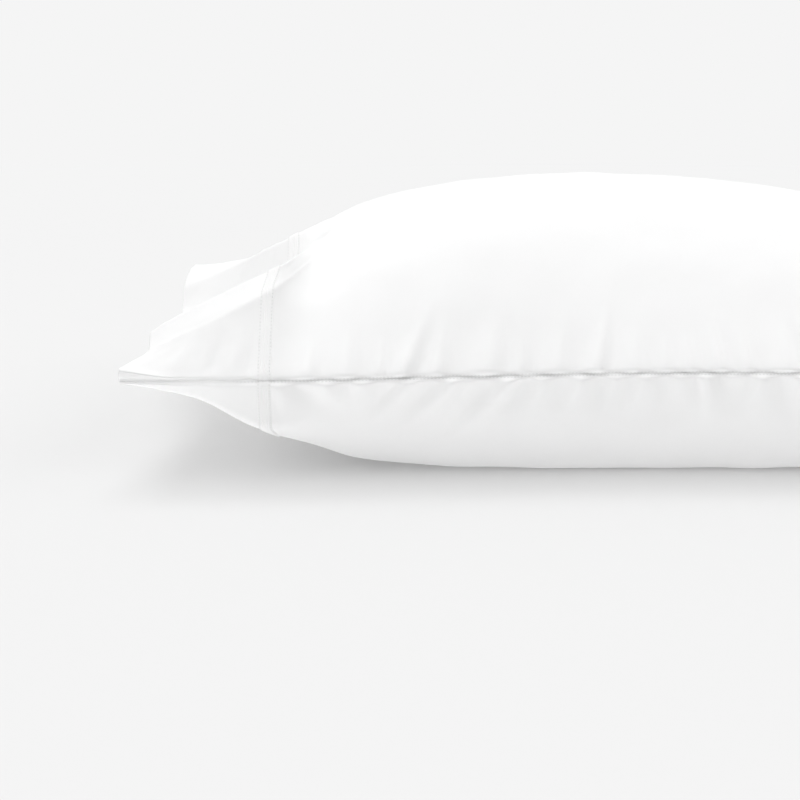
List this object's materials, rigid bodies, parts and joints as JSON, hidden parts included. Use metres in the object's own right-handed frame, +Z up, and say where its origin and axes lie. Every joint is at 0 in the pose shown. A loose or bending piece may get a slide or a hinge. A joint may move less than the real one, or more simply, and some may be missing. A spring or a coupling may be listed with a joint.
{
  "type": "pillowcase",
  "caption": "White cotton pillowcase on its pillow, lying flat: plump in the middle, sewn along the near side and one end, with a deep open hem at the other end.",
  "frame": {"origin": "middle of the footprint, on the surface that the pillow lies on", "axes": "+X from the open hem to the closed end, +Y from the sewn near side to the folded far side, +Z up"},
  "size_m": [0.7202, 0.49, 0.2085],
  "materials": {
    "cotton": "plain white percale, a fine matt plain weave with a faint sheen"
  },
  "bodies": {
    "root": {"pillowcase": "cotton"}
  },
  "joints": []
}
